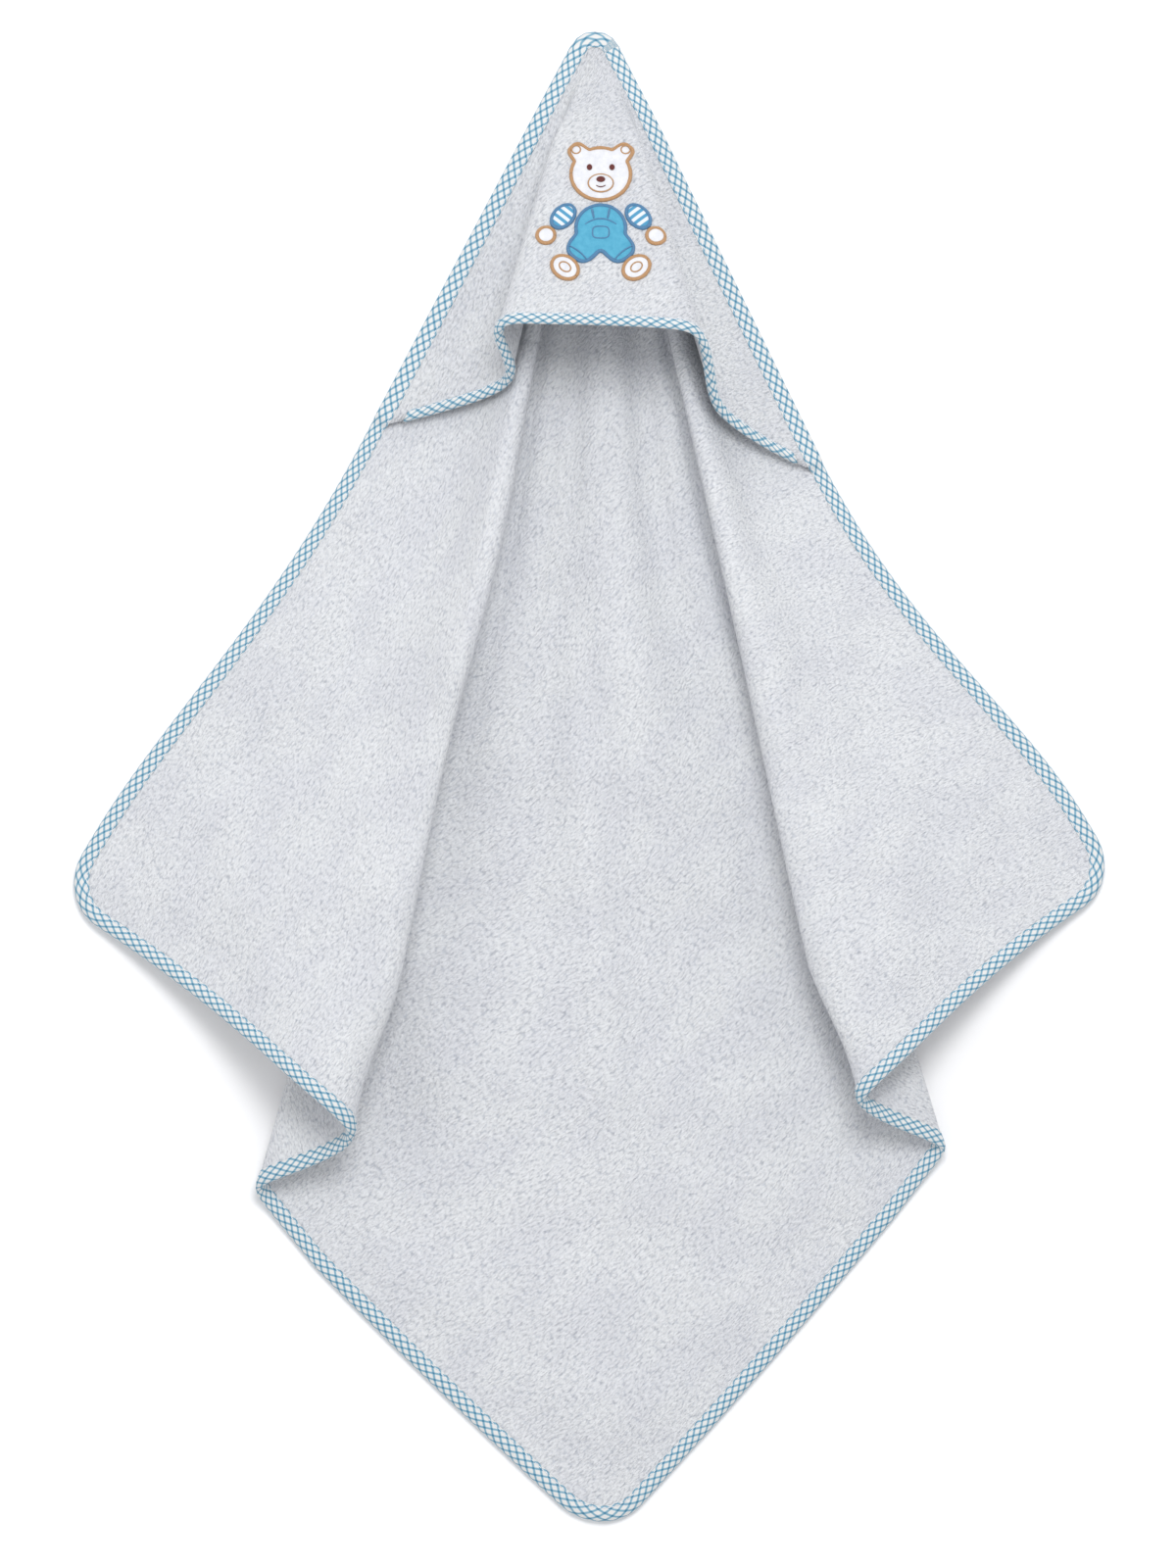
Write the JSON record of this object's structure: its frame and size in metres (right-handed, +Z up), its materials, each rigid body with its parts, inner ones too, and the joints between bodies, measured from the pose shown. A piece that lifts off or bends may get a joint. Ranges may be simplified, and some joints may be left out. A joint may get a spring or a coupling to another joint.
{
  "type": "hooded baby towel",
  "caption": "Square terry baby towel laid flat, check tape round its edge, a hood sewn over one corner with a seated teddy applique, side corners folded in.",
  "frame": {"origin": "centre of the towel's outline as it lies, on the surface that it lies on", "axes": "+Y along the towel's diagonal towards the hood tip, +X towards the right-hand wing, +Z up out of the face that shows"},
  "size_m": [0.758, 1.0958, 0.1131],
  "materials": {
    "terry_white": "white looped cotton terry",
    "gingham_blue": "woven cotton bias tape, blue and white small check set diagonally",
    "cotton_white": "brushed white cotton",
    "cotton_blue": "plain woven blue cotton",
    "cotton_striped": "woven cotton with blue and white stripes",
    "thread_tan": "satin-stitched rayon thread",
    "thread_blue": "satin-stitched rayon thread",
    "thread_brown": "satin-stitched rayon thread",
    "thread_white": "white sewing thread"
  },
  "bodies": {
    "root": {"towel_body": "terry_white", "hood_panel": "terry_white", "edge_binding": "gingham_blue", "hood_binding": "gingham_blue", "edge_stitching": "thread_white", "hood_stitching": "thread_white", "head_patch": "cotton_white", "head_outline": "thread_tan", "overalls_patch": "cotton_blue", "overalls_outline": "thread_blue", "muzzle_patch": "cotton_white", "nose_stitching": "thread_brown", "sleeve_patch_left": "cotton_striped", "sleeve_outline_left": "thread_blue", "paw_patch_left": "cotton_white", "paw_outline_left": "thread_tan", "sole_patch_left": "cotton_white", "sole_outline_left": "thread_tan", "eye_stitching_left": "thread_brown", "sleeve_patch_right": "cotton_striped", "sleeve_outline_right": "thread_blue", "paw_patch_right": "cotton_white", "paw_outline_right": "thread_tan", "sole_patch_right": "cotton_white", "sole_outline_right": "thread_tan", "eye_stitching_right": "thread_brown"}
  },
  "joints": []
}
